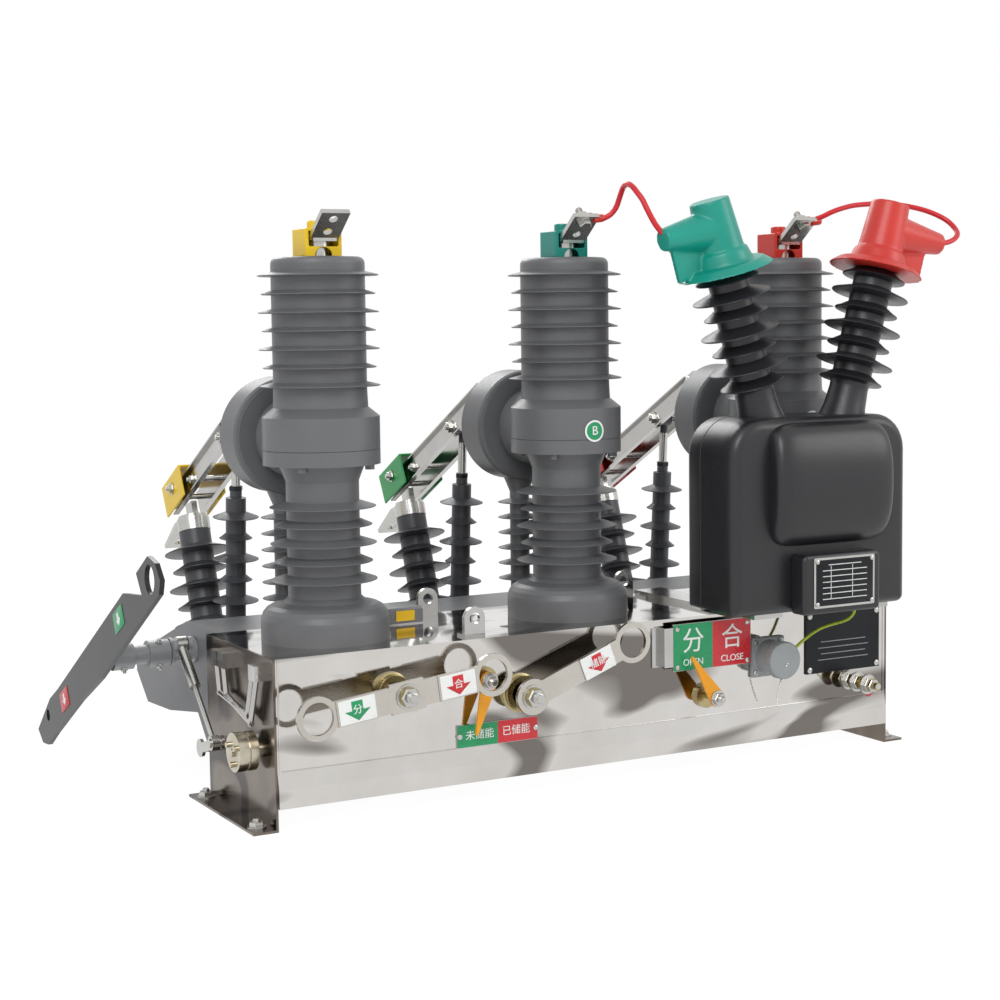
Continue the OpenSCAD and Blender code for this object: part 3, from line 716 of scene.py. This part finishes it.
@dataclass
class Studio:
    """Camera, floor, lamps and sky."""

    eye: tuple[float, float, float] = (-1.2484, -2.1220, 0.5817)
    yaw: float = 0.4999
    pitch: float = 0.0941
    roll: float = -0.0137
    lens: float = 69.28

    def camera(self) -> None:
        """Stand the camera at its fitted place."""
        sy, cy = math.sin(self.yaw), math.cos(self.yaw)
        sp, cp = math.sin(self.pitch), math.cos(self.pitch)
        ahead = Vector((sy * cp, cy * cp, -sp))
        side = Vector((cy, -sy, 0.0))
        up = side.cross(ahead)
        c, s = math.cos(self.roll), math.sin(self.roll)
        right, top = c * side + s * up, -s * side + c * up
        data = bpy.data.cameras.new("view")
        data.lens, data.sensor_width = self.lens, 36.0
        data.clip_end = 60.0
        shape = bpy.data.objects.new("view", data)
        turned = Matrix((right, top, -ahead)).transposed().to_4x4()
        shape.matrix_world = Matrix.Translation(self.eye) @ turned
        bpy.context.scene.collection.objects.link(shape)
        bpy.context.scene.camera = shape

    def lamp(self, name: str, place: Sequence[float], size: float, power: float) -> None:
        """Hang one soft lamp that faces the breaker.

        Args:
            name: what it is called.
            place: where it hangs, in metres.
            size: width of its panel.
            power: its watts.
        """
        data = bpy.data.lights.new(name, "AREA")
        data.shape, data.size, data.energy = "DISK", size, power
        shape = bpy.data.objects.new(name, data)
        aim = Vector((0.0, 0.0, 0.35)) - Vector(place)
        turned = aim.to_track_quat("-Z", "Y").to_matrix().to_4x4()
        shape.matrix_world = Matrix.Translation(place) @ turned
        bpy.context.scene.collection.objects.link(shape)

    def seen(self, tree: bpy.types.NodeTree) -> bpy.types.NodeSocket:
        """Tell the rays that should meet plain white from those that light the object.

        Args:
            tree: the material or world that asks.

        Returns:
            1 for camera, glossy and transmission rays, and 0 for the rest.
        """
        path = add(tree, "ShaderNodeLightPath")
        total = path.outputs["Is Camera Ray"]
        for kind in ("Is Glossy Ray", "Is Transmission Ray"):
            total = add(
                tree, "ShaderNodeMath", {0: total, 1: path.outputs[kind]}, operation="MAXIMUM"
            ).outputs[0]
        return total

    def sky(self) -> None:
        """Give a plain white surround that lights softly."""
        world = bpy.data.worlds.new("surround")
        bpy.context.scene.world = world
        world.use_nodes = True
        tree = world.node_tree
        back = tree.nodes["Background"]
        back.inputs["Color"].default_value = (1.0, 1.0, 1.0, 1.0)
        level = add(
            tree, "ShaderNodeMapRange", {"Value": self.seen(tree), "To Min": 0.5, "To Max": 1.0}
        )
        tree.links.new(level.outputs[0], back.inputs["Strength"])

    def floor(self) -> None:
        """Lay a plain pale floor that keeps the shadow."""
        material = bpy.data.materials.new("pale_floor")
        material.use_nodes = True
        tree = material.node_tree
        tree.nodes.clear()
        matt = add(tree, "ShaderNodeBsdfDiffuse", {"Color": (0.96, 0.96, 0.96, 1.0)})
        # a little over 1, so that the matt share doesn't leave a line at the horizon
        glow = add(tree, "ShaderNodeEmission", {"Color": (1.0, 1.0, 1.0, 1.0), "Strength": 1.06})
        share = add(
            tree, "ShaderNodeMapRange", {"Value": self.seen(tree), "To Min": 0.0, "To Max": 0.9}
        )
        mixed = add(
            tree,
            "ShaderNodeMixShader",
            {0: share.outputs[0], 1: matt.outputs[0], 2: glow.outputs[0]},
        )
        add(tree, "ShaderNodeOutputMaterial", {"Surface": mixed.outputs[0]})
        data = bpy.data.meshes.new("floor")
        mesh = bmesh.new()
        bmesh.ops.create_grid(mesh, x_segments=4, y_segments=4, size=20.0)
        mesh.to_mesh(data)
        mesh.free()
        data.materials.append(material)
        shape = bpy.data.objects.new("floor", data)
        shape.location.z = -0.0005
        bpy.context.scene.collection.objects.link(shape)

    def build(self) -> None:
        """Set up the whole studio."""
        self.camera()
        self.sky()
        self.floor()
        self.lamp("key", (-2.2, -2.6, 2.9), 2.4, 75.0)
        self.lamp("fill", (2.6, -2.2, 1.8), 2.0, 30.0)
        self.lamp("rim", (0.3, 2.8, 2.4), 2.0, 45.0)
        bpy.context.scene.view_settings.view_transform = "Standard"


@dataclass
class VoltageTransformer:
    """Cast transformer in front of the third pole, with two leaning bushings."""

    middle: float = 272.0
    base: float = 206.0
    back: float = -87.0
    width: float = 276.0
    depth: float = 103.0
    height: float = 247.0
    lean: float = 16.0

    def barrel(self, mesh: bmesh.types.BMesh) -> None:
        """Add the swelling over the winding.

        Args:
            mesh: the mesh that grows.
        """
        half, out, tall = 92.0, 34.0, 78.0
        x, y, z = 280.0, -184.0, 369.0
        flat, crown = 0.28, 0.8
        steps, sides = 28, 48

        def power(value: float, exponent: float) -> float:
            """Return the signed power of a value."""
            return math.copysign(abs(value) ** exponent, value)

        rings = []
        for i in range(1, steps):
            u = math.radians(-90 + 180 * i / steps)
            ring = []
            for k in range(sides):
                w = 2 * math.pi * k / sides
                reach = power(math.cos(u), flat)
                spot = Vector((
                    x + half * power(math.sin(u), flat),
                    y - out * reach * power(math.cos(w), crown),
                    z + tall * reach * power(math.sin(w), crown),
                ))
                ring.append(spot * MM)
            rings.append(ring)
        loft(mesh, rings)

    def body(self) -> None:
        """Cast the body with its parting line, swelling and terminal block."""
        mesh = bmesh.new()
        corners = (10, 46, 46, 10)
        rings = []
        for y, inset in casting_track(self.depth, 72, 14):
            outline = box_outline(self.width, self.height, corners, inset, 9)
            rings.append([
                (Vector((self.middle + x, self.back - y, self.base + z)) * MM) for x, z in outline
            ])
        loft(mesh, rings)
        self.barrel(mesh)
        rounded_block(
            mesh, 122, 76, 29, (5, 8, 8, 5), 5, at(283, -188, self.base)
        )
        whole = piece("transformer_casting", mesh, BLACK_CAST, sharp=42)
        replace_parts(whole, "voltage_transformer")

    def bushing(self, side: int, name: str) -> None:
        """Raise one bushing.

        Args:
            side: -1 for the left one, 1 for the right one.
            name: the piece's name.
        """
        mesh = bmesh.new()
        place = at(279 + side * 63, -138.5, 441) @ turn(side * self.lean, "Y")
        profile = [(0, -6), (31, -6), (30, 8), (27, 22), (25, 46)]
        profile += sheds(7, 56, 22.9, 25.5, (41, 50), 10)
        profile += [(25, 204.6), (0, 204.6)]
        spin(mesh, profile, place, 64)
        piece(name, mesh, BLACK_SHED, sharp=50)

    def nameplate(self) -> None:
        """Fix the bare nameplate to the terminal block."""
        x, z, face = 285, 246, -217.2
        rule_face = face - 1.6
        place = at(x, face, z) @ FRONT_TURN
        tile("nameplate_border", rectangle(96, 64, 2), 1.2, place, PLATED)
        field_place = place @ at(0, 0, 1.2)
        tile("nameplate_field", rectangle(90, 58, 1), 0.5, field_place, PANEL)
        mesh = bmesh.new()
        for row in range(7):
            rounded_block(
                mesh, 70 if row else 52, 1.0, 0.4, (0.4,) * 4, 0.15,
                at(x, rule_face, z + 22 - row * 7.2),
            )
        for column in (-22, 12):
            rounded_block(
                mesh, 0.9, 42, 0.4, (0.4,) * 4, 0.15, at(x + column, rule_face, z - 21)
            )
        piece("nameplate_rules", mesh, WHITE_INK)
        mesh = bmesh.new()
        for dx in (-43, 43):
            for dz in (-27, 27):
                spot = at(x + dx, face - 1.4, z + dz) @ FRONT_TURN
                spin(mesh, [(0, 0), (3, 0), (2.8, 0.9), (1.6, 1.6), (0, 1.8)], spot, 20)
        piece("nameplate_screws", mesh, PLATED)

    def build(self) -> None:
        """Build the whole transformer."""
        self.body()
        self.bushing(-1, "left_bushing")
        self.bushing(1, "right_bushing")
        self.nameplate()


def casting_track(depth: float, straight: float, fillet: float) -> list[tuple[float, float]]:
    """Depth and inset pairs of a casting with round edges and a parting groove.

    Args:
        depth: from back to front, in millimetres.
        straight: depth of the last plain ring before the front fillet.
        fillet: rounding of the front edge.

    Returns:
        The pairs, from the back to the front.
    """
    back_edge = [(0.0, 8.0), (1.5, 4.0), (5.0, 1.2), (9.0, 0.2), (31.0, 0.0)]
    groove = [(31.6, 1.0), (32.4, 1.0), (33.0, 0.0)]
    track = back_edge + groove + [(straight, 0.0)]
    for k in range(7):
        a = math.radians(90 * k / 6)
        track.append((depth - fillet + fillet * math.sin(a), fillet * (1 - math.cos(a))))
    return sorted(set(track))


@dataclass
class Softened:
    """A moulded part whose sharp modelled edges melt into soft ones."""

    name: str
    node: str
    finish: Finish
    slot: str
    body: str
    voxel: float = 1.6
    passes: int = 6

    def make(self, frame: dict) -> None:
        """Round the part's edges over and show it in place of its plain node.

        Args:
            frame: the loaded frame.
        """
        source = bpy.data.objects.new(self.name + "_plain", frame["nodes"][self.node].data.copy())
        bpy.context.scene.collection.objects.link(source)
        weld = source.modifiers.new("weld", "WELD")
        weld.merge_threshold = 1e-5
        grid = source.modifiers.new("grid", "REMESH")
        grid.mode, grid.voxel_size = "VOXEL", self.voxel * MM
        ease = source.modifiers.new("ease", "SMOOTH")
        ease.factor, ease.iterations = 0.5, self.passes
        bpy.context.view_layer.update()
        data = bpy.data.meshes.new_from_object(
            source.evaluated_get(bpy.context.evaluated_depsgraph_get())
        )
        bpy.data.objects.remove(source)
        mesh = bmesh.new()
        mesh.from_mesh(data)
        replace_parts(piece(self.name, mesh, self.finish, self.body, 70), self.node)


SOFTENED = [
    Softened("left_bushing_plug", "hv_plug_left", TEAL_RUBBER, "teal_plastic", "breaker"),
    Softened("right_bushing_plug", "hv_plug_right", RED_RUBBER, "red_plastic", "breaker"),
    Softened("socket_with_cap", "control_socket", CAP_GREY, "socket_cap", "breaker", 1.2, 4),
] + [
    Softened(f"pole_cover_{k}", f"terminal_cover_{k}", finish, slot, "breaker", 1.0, 4)
    for k, finish, slot in (
        ("a", YELLOW_ABS, "yellow_plastic"),
        ("b", TEAL_ABS, "teal_plastic"),
        ("c", RED_ABS, "red_plastic"),
    )
] + [
    Softened(f"contact_hood_{k}", f"blade_cover_{k}", finish, slot, f"blade_{k}", 1.1, 4)
    for k, finish, slot in (
        ("a", YELLOW_ABS, "yellow_plastic"),
        ("b", GREEN_ABS, "green_plastic"),
        ("c", RED_ABS, "red_plastic"),
    )
]


@dataclass
class PoleMarks:
    """Phase badges on the collars and bolts on the terminal bars."""

    collar: float = 71.0
    height: float = 440.0

    def badge(self, key: str, letter: str, ink: Finish) -> None:
        """Stick a round phase badge on a collar.

        Args:
            key: the pole.
            letter: what it says.
            ink: its colour.
        """
        for name, inner, outer, lift, colour in (
            ("field", 0.0, 12.0, 0.25, ink),
            ("ring", 11.2, 13.6, 0.4, WHITE_INK),
        ):
            mesh = bmesh.new()
            loops = []
            radii = (outer, inner) if inner else (outer, outer * 0.5, 0.01)
            for radius in radii:
                loop = []
                for k in range(48):
                    a = 2 * math.pi * k / 48
                    around = radius * math.cos(a) / self.collar
                    spot = Vector((
                        POLES[key] + (self.collar + lift) * math.sin(around),
                        -(self.collar + lift) * math.cos(around),
                        self.height + radius * math.sin(a),
                    ))
                    loop.append(mesh.verts.new(spot * MM))
                loops.append(loop)
            for low, high in zip(loops, loops[1:]):
                for k in range(48):
                    n = (k + 1) % 48
                    mesh.faces.new((low[k], low[n], high[n], high[k]))
            bmesh.ops.solidify(mesh, geom=mesh.faces[:], thickness=0.0003)
            piece(f"phase_badge_{name}_{key}", mesh, colour)
        lettering(
            f"phase_letter_{key}", letter, 16, at(POLES[key], -71.9, self.height) @ FRONT_TURN,
            WHITE_INK, "breaker",
        )

    def bar_bolt(self, key: str) -> None:
        """Bolt a lug to a terminal bar.

        Args:
            key: the pole.
        """
        place = at(POLES[key], -48, 701.3) @ turn(-38, "X")
        mesh = bmesh.new()
        bolt(mesh, place @ at(0, 0, 3.2), 8.5, 8)
        bolt(mesh, place @ at(0, 0, -3.2) @ turn(180, "X"), 8.5)
        piece(f"terminal_bolt_{key}", mesh, PLATED)
        mesh = bmesh.new()
        ear = place @ at(9, 0, 4.6)
        spin(mesh, [(0, 0), (8.5, 0), (8.5, 1.6), (0, 1.6)], ear, 28)
        spin(
            mesh, [(0, 0), (4.6, 0), (5.0, 1), (5.0, 13), (4.4, 15), (0, 15)],
            at(POLES[key] + 12, -52, 703.5) @ turn(84, "Y"), 24,
        )
        piece(f"lead_lug_{key}", mesh, RED_RUBBER)

    def build(self) -> None:
        """Mark the poles."""
        self.badge("b", "B", GREEN_INK)
        self.badge("c", "C", RED_INK)
        self.bar_bolt("b")
        self.bar_bolt("c")


@dataclass
class FrontGear:
    """Lettering, labels and small fittings on the housing's front."""

    face: float = -108.0
    trip: tuple[float, float] = (-298.0, 150.0)
    trip_lean: float = 7.0
    charge: tuple[float, float] = (-125.0, 129.0)
    charge_lean: float = 20.5
    state: tuple[float, float] = (147.0, 97.0)
    spring: tuple[float, float] = (-176.0, 151.0)

    def lever_label(
        self, name: str, word: str, ink: Finish, pivot: tuple[float, float, float],
        reach: float, lean: float, body: str,
    ) -> None:
        """Stick a white label with a block arrow on a lever.

        Args:
            name: start of the pieces' names.
            word: the mark in the arrow.
            ink: the arrow's colour.
            pivot: the lever's pivot, at the label's surface.
            reach: how far along the lever the label's middle is.
            lean: the lever's slope in degrees.
            body: the lever's body.
        """
        place = at(*pivot) @ turn(-lean, "Y") @ at(reach, 0, 0) @ FRONT_TURN
        tile(f"{name}_card", rectangle(46, 28, 1.5), 0.5, place, WHITE_INK, body)
        arrow = [(-7, 11), (-7, 0), (-16, 0), (0, -12), (16, 0), (7, 0), (7, 11)]
        lifted = place @ at(0, 0, 0.5)
        tile(f"{name}_arrow", arrow, 0.4, lifted, ink, body)
        lettering(f"{name}_mark", word, 12, lifted @ at(0, 0.5, 0.6), WHITE_INK, body)

    def sign(self) -> None:
        """Letter the state sign and the charge label."""
        front = self.face - 12.9
        sheet = at(151, self.face - 12.1, 164) @ FRONT_TURN
        tile("state_sign", rectangle(119, 59, 1.5), 0.5, sheet, SIGN)
        for name, word, x, z, size in (
            ("open_mark", "分", 121, 170, 34),
            ("close_mark", "合", 181, 170, 34),
            ("open_word", "OPEN", 121, 144, 12),
            ("close_word", "CLOSE", 181, 144, 12),
        ):
            lettering(name, word, size, at(x, front, z) @ FRONT_TURN, WHITE_INK, "breaker")
        base = at(-157, self.face - 2.1, 84) @ FRONT_TURN
        tile("charge_label", rectangle(110, 27, 1), 0.5, base, CHARGE_SIGN)
        for name, word, x in (
            ("spent_word", "未储能", -182), ("charged_word", "已储能", -132),
        ):
            place = at(x, self.face - 2.9, 84) @ FRONT_TURN
            lettering(name, word, 13, place, WHITE_INK, "breaker")
        mesh = bmesh.new()
        for x, z, y in (
            (97, 139, -120.5), (205, 139, -120.5), (97, 188, -120.5), (205, 188, -120.5),
            (-209, 84, -110.5), (-105, 84, -110.5),
        ):
            spot = at(x, y, z) @ FRONT_TURN
            spin(mesh, [(0, 0), (3.4, 0), (3.2, 1), (1.8, 1.8), (0, 2)], spot, 18)
        piece("sign_rivets", mesh, PLATED)

    def panel(self) -> None:
        """Dress the black panel with its screws and plain strips."""
        mesh = bmesh.new()
        for x in (313, 425):
            for z in (112, 184):
                spin(
                    mesh, [(0, 0), (4, 0), (3.8, 1.2), (2, 2), (0, 2.2)],
                    at(x, -111, z) @ FRONT_TURN, 20,
                )
        piece("panel_screws", mesh, PLATED)
        mesh = bmesh.new()
        for row in range(4):
            rounded_block(
                mesh, 84 - 9 * (row % 2), 1.2, 0.5, (0.4,) * 4, 0.2, at(369, -111, 124 + row * 8)
            )
        piece("panel_rules", mesh, CAP_GREY)

    def socket(self) -> None:
        """Add the socket's flange bolts, ribs and bead chain."""
        mesh = bmesh.new()
        for x in (-20, 20):
            for z in (-20, 20):
                bolt(mesh, at(244 + x, -113, 138 + z) @ FRONT_TURN, 3.6, 1.5, False)
        piece("socket_screws", mesh, PLATED)
        mesh = bmesh.new()
        for k in range(24):
            place = at(244, -138, 138) @ turn(15 * k, "Y") @ at(23.6, 0, 0)
            rounded_block(mesh, 1.6, 3, 11, (0.5,) * 4, 0.5, place)
        piece("socket_ribs", mesh, CAP_GREY)
        mesh = bmesh.new()
        for k in range(22):
            t = k / 21
            place = at(246 - 4 * math.sin(3 * t), -151.5 + 22 * t, 134 - 58 * t)
            spin(mesh, [(0, -1.3), (0.9, -0.9), (1.3, 0), (0.9, 0.9), (0, 1.3)], place, 10)
        piece("socket_bead_chain", mesh, PLATED)

    def pivots(self) -> None:
        """Put washers, nuts and thread ends on the lever pivots."""
        mesh = bmesh.new()
        for (x, z), y, size, stud in (
            (self.trip, -155, 12, 7), (self.charge, -143, 12, 7),
            (self.state, -137.2, 8.5, 5), (self.spring, -127.2, 8.5, 6),
        ):
            bolt(mesh, at(x, y, z) @ FRONT_TURN, size, stud)
        piece("pivot_nuts", mesh, PLATED)
        mesh = bmesh.new()
        for (x, z), radius, deep in ((self.trip, 22, 11), (self.charge, 24, 9)):
            spot = at(x, self.face, z) @ FRONT_TURN
            profile = [(0, 0), (radius, 0), (radius, 2.5), (radius - 3, 3.5), (radius - 6, 4)]
            profile += [(radius - 7, deep), (radius - 9, deep + 1), (0, deep + 1)]
            spin(mesh, profile, spot, 48)
            for k in range(3):
                bolt(
                    mesh, spot @ turn(120 * k + 20, "Z") @ at(radius - 4, 0, 3), 3.4, 1, False
                )
        piece("pivot_flanges", mesh, ZINC)

    def earth(self) -> None:
        """Thread the earth stud and hang its tag."""
        mesh = bmesh.new()
        for y in (0, -17.6, -39.6):
            bolt(mesh, at(380, self.face + y - 0.2, 93) @ FRONT_TURN, 10.6)
        bolt(mesh, at(380, -157, 93) @ FRONT_TURN, 9, 7, False)
        piece("earth_stud_nuts", mesh, PLATED)
        place = at(415, self.face - 0.2, 72) @ FRONT_TURN
        tile("earth_tag", rectangle(12, 12, 6), 0.6, place, RED_INK)

    def build(self) -> None:
        """Build the front gear."""
        trip = (self.trip[0], -156.7, self.trip[1])
        charge = (self.charge[0], -144.7, self.charge[1])
        for name, word, ink, pivot, reach, lean, body in (
            ("trip_left", "分", GREEN_INK, trip, -65, self.trip_lean, "trip_lever"),
            ("trip_right", "合", RED_INK, trip, 65, self.trip_lean, "trip_lever"),
            ("charging", "储能", RED_INK, charge, 96, self.charge_lean, "charging_lever"),
        ):
            self.lever_label(name, word, ink, pivot, reach, lean, body)
        self.sign()
        self.panel()
        self.socket()
        self.pivots()
        self.earth()


@dataclass
class IsolatorDress:
    """Bolts, nuts and labels of the rear isolator and its handle."""

    slope: float = -27.8

    def blade(self, key: str) -> None:
        """Bolt up one blade.

        Args:
            key: the pole.
        """
        x = POLES[key]
        along = at(x, 177, 487) @ turn(self.slope, "X")
        mesh = bmesh.new()
        for y, z, out, size in (
            (0, 0, 23.5, 9), (122.1, 0, 19, 8), (258, 0, 19, 6), (312, 10, 31.3, 7),
        ):
            for side in (-1, 1):
                seat = along @ at(side * out, y, z) @ turn(side * 90, "Y")
                bolt(mesh, seat, size, 2)
        piece(f"blade_bolts_{key}", mesh, PLATED, f"blade_{key}")
        mesh = bmesh.new()
        lean = math.degrees(math.atan2(23, 321))
        up = at(x, 308, 109) @ turn(lean, "X")
        bolt(mesh, up @ at(0, 0, 250), 9.5, 0, False)
        piece(f"pull_nut_{key}", mesh, BLACK_STEEL, f"pull_{key}")
        mesh = bmesh.new()
        spin(
            mesh, [(0, 251), (5.6, 251), (5.9, 256), (5.9, 296), (5.6, 300), (0, 300)], up, 24
        )
        piece(f"pull_rod_sleeve_{key}", mesh, PLATED, f"pull_{key}")

    def handle(self) -> None:
        """Label the handle."""
        for name, y, z, ink in (("high", 120, 226, GREEN_INK), ("low", 368, 86, RED_INK)):
            place = (
                at(-551.2, y, z) @ turn(self.slope, "X") @ turn(-90, "Z") @ FRONT_TURN
            )
            body = "drive_shaft"
            tile(f"handle_label_{name}", rectangle(40, 26, 1.5), 0.5, place, ink, body)
            arrow = [(-3, 8), (-3, 0), (-8, 0), (0, -8), (8, 0), (3, 0), (3, 8)]
            tile(
                f"handle_arrow_{name}", arrow, 0.4, place @ at(0, 0, 0.5), WHITE_INK, body
            )

    def collars(self) -> None:
        """Give the shaft collars their set screws."""
        mesh = bmesh.new()
        for x in (-524, -478):
            for k in range(3):
                seat = at(x, 200, 166) @ turn(120 * k + 30, "X") @ at(0, 0, 16.6)
                bolt(mesh, seat, 4.5, 2, False)
        piece("collar_screws", mesh, PLATED, "drive_shaft")

    def build(self) -> None:
        """Dress the isolator."""
        for key in POLES:
            self.blade(key)
        self.handle()
        self.collars()


@dataclass
class HousingDress:
    """Foot bolts, folded seams and the relay box on the housing."""

    feet: list[tuple[float, float]] = field(
        default_factory=lambda: [(s * 459.5, t * 84) for s in (-1, 1) for t in (-1, 1)]
    )

    def build(self) -> None:
        """Build the dressings."""
        mesh = bmesh.new()
        for x, y in self.feet:
            bolt(mesh, at(x, y, 3), 9, 3)
        piece("foot_bolts", mesh, PLATED)
        mesh = bmesh.new()
        for side in (-1, 1):
            rounded_block(
                mesh, 2.2, 172, 1.4, (0.6,) * 4, 0.5, at(side * 439, -107.6, 28)
            )
        rounded_block(mesh, 880, 1.6, 1.2, (0.6,) * 4, 0.5, at(0, -107.6, 69))
        piece("folded_seams", mesh, MIRROR_SHEET)
        mesh = bmesh.new()
        rounded_block(mesh, 71, 21, 45, (3, 4, 4, 3), 3, at(-215, 84.5, 200))
        piece("relay_box", mesh, GREY_PAINT)
        place = at(-206, 39, 211) @ FRONT_TURN
        tile("relay_sticker", rectangle(26, 13, 1), 0.4, place, YELLOW_INK)


def dress_nodes(frame: dict) -> None:
    """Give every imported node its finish.

    Args:
        frame: the loaded frame.
    """
    for name, shape in frame["nodes"].items():
        finish = NODE_FINISHES.get(name)
        if finish is None:
            keys = [k for k in NODE_FINISHES if name.startswith(k)]
            finish = NODE_FINISHES[max(keys, key=len)]
        if not shape.material_slots:
            shape.data.materials.append(finish.build())
        for spot in shape.material_slots:
            spot.material = finish.build()
        LOG.info("%s is %s", name, finish.name)


def main() -> None:
    """Build the breaker around its frame."""
    logging.basicConfig(level=logging.INFO, format="%(name)s: %(message)s")
    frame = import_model()
    Studio().build()
    for lead in LEADS:
        lead.make()
    dress_nodes(frame)
    for part in SOFTENED:
        part.make(frame)
    VoltageTransformer().build()
    PoleMarks().build()
    FrontGear().build()
    IsolatorDress().build()
    HousingDress().build()


if __name__ == "__main__":
    main()
